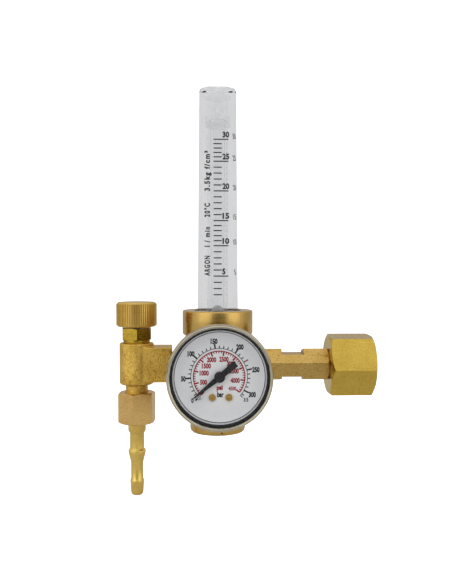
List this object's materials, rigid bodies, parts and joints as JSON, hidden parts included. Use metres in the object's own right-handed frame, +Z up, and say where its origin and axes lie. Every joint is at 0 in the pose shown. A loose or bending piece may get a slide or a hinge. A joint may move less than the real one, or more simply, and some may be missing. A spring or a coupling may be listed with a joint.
{
  "type": "gas regulator",
  "caption": "Preset cylinder gas regulator with inlet nut, round contents gauge, upright clear flow tube with float, needle valve and downward hose barb.",
  "frame": {"origin": "centre of the inlet sealing face, at the inner end of the inlet nut's thread", "axes": "+X along the inlet, out of the nut; +Z up along the flow tube; the dial faces -Y"},
  "size_m": [0.1441, 0.0835, 0.2269],
  "materials": {
    "nut_brass": "satin turned brass, slightly green",
    "stem_brass": "drawn hexagon bar brass, grainy",
    "body_brass": "machined brass",
    "forged_brass": "forged brass, mottled",
    "barb_brass": "turned brass",
    "clear_plastic": "clear, polished",
    "white_plastic": "white",
    "rubber": "black rubber",
    "fibre": "fibre washer",
    "steel": "steel",
    "bronze": "sintered bronze",
    "nickel": "nickel plated",
    "lens_glass": "clear",
    "dial_white": "white enamel",
    "pointer_black": "black"
  },
  "bodies": {
    "regulator": {"inlet_stem": "stem_brass", "inlet_nipple": "body_brass", "inlet_filter": "bronze", "inlet_gasket": "white_plastic", "stem_seal_ring": "fibre", "main_body": "body_brass", "spring_cap": "body_brass", "valve_seat": "white_plastic", "poppet_spring": "steel", "chamber_plug": "body_brass", "spring_plate": "steel", "preset_spring": "steel", "preset_screw": "steel", "tube_seat": "body_brass", "metering_tube": "clear_plastic", "tube_top_guide": "white_plastic", "flow_cover": "clear_plastic", "cover_o_ring": "rubber", "collar_nut": "body_brass", "outlet_body": "forged_brass", "outlet_seal_ring": "fibre", "valve_bonnet": "body_brass", "valve_packing": "rubber", "outlet_nut": "barb_brass", "hose_barb": "barb_brass", "gauge_socket": "body_brass", "gauge_seal_ring": "fibre", "gauge_case": "nickel", "blowout_plug": "rubber", "gauge_bezel": "nickel", "gauge_lens": "lens_glass", "lens_gasket": "rubber", "gauge_dial": "dial_white", "dial_screws": "body_brass", "stop_pin": "steel", "movement_back": "body_brass", "movement_front": "body_brass", "hairspring": "bronze", "bourdon_tube": "bronze", "bourdon_tip": "body_brass", "relief_body": "body_brass", "relief_spring": "steel", "relief_cap": "body_brass"},
    "nut": {"inlet_nut": "nut_brass"},
    "needle": {"valve_needle": "steel"},
    "knob": {"knob": "barb_brass", "spindle": "steel", "knob_screw": "steel"},
    "float": {"float_ball": "steel"},
    "sector": {"sector_gear": "body_brass"},
    "pointer": {"pointer": "pointer_black", "pinion": "body_brass"},
    "link": {"link": "steel"},
    "piston": {"piston": "steel", "piston_o_ring": "rubber"},
    "poppet": {"poppet": "steel"},
    "relief_poppet": {"relief_poppet": "steel"}
  },
  "joints": [
    {"name": "inlet_nut_turn", "type": "hinge", "parent": "regulator", "child": "nut", "pos_m": [0, 0, 0], "axis": [1, 0, 0], "continuous": true},
    {"name": "needle_lift", "type": "slide", "parent": "regulator", "child": "needle", "axis": [0, 0, 1], "range_m": [0, 0.005]},
    {"name": "knob_turn", "type": "hinge", "parent": "needle", "child": "knob", "pos_m": [-0.1179, 0, 0.03], "axis": [0, 0, 1], "range_deg": [0, 1801]},
    {"name": "float_rise", "type": "slide", "parent": "regulator", "child": "float", "axis": [0, 0, 1], "range_m": [0, 0.1]},
    {"name": "sector_turn", "type": "hinge", "parent": "regulator", "child": "sector", "pos_m": [-0.0654, -0.035, -0.01212], "axis": [0, -1, 0], "range_deg": [0, 31.4], "stiffness_Nm_per_rad": 0.01, "springref_deg": -5.73},
    {"name": "pointer_turn", "type": "hinge", "parent": "regulator", "child": "pointer", "pos_m": [-0.0724, -0.045, 0], "axis": [0, -1, 0], "range_deg": [-262, 0]},
    {"name": "link_swing", "type": "hinge", "parent": "sector", "child": "link", "pos_m": [-0.05976, -0.039, -0.01418], "axis": [0, -1, 0], "range_deg": [-50, 0.5]},
    {"name": "piston_travel", "type": "slide", "parent": "regulator", "child": "piston", "axis": [0, 0, 1], "range_m": [-0.0008, 0], "stiffness_N_per_m": 20000, "springref_m": 0.002, "deforming": ["preset_spring"]},
    {"name": "poppet_travel", "type": "slide", "parent": "regulator", "child": "poppet", "axis": [0, 0, 1], "range_m": [-0.0008, 0], "deforming": ["poppet_spring"]},
    {"name": "relief_lift", "type": "slide", "parent": "regulator", "child": "relief_poppet", "axis": [0, 1, 0], "range_m": [0, 0.001], "stiffness_N_per_m": 5000, "springref_m": -0.001, "deforming": ["relief_spring"]}
  ],
  "couplings": [
    {"joint": "knob_turn", "follows": "needle_lift", "rad_per_m": 6283.2},
    {"joint": "pointer_turn", "follows": "sector_turn", "ratio": -8.3333},
    {"joint": "link_swing", "follows": "sector_turn", "ratio": -1.541},
    {"joint": "poppet_travel", "follows": "piston_travel", "ratio": 1}
  ]
}
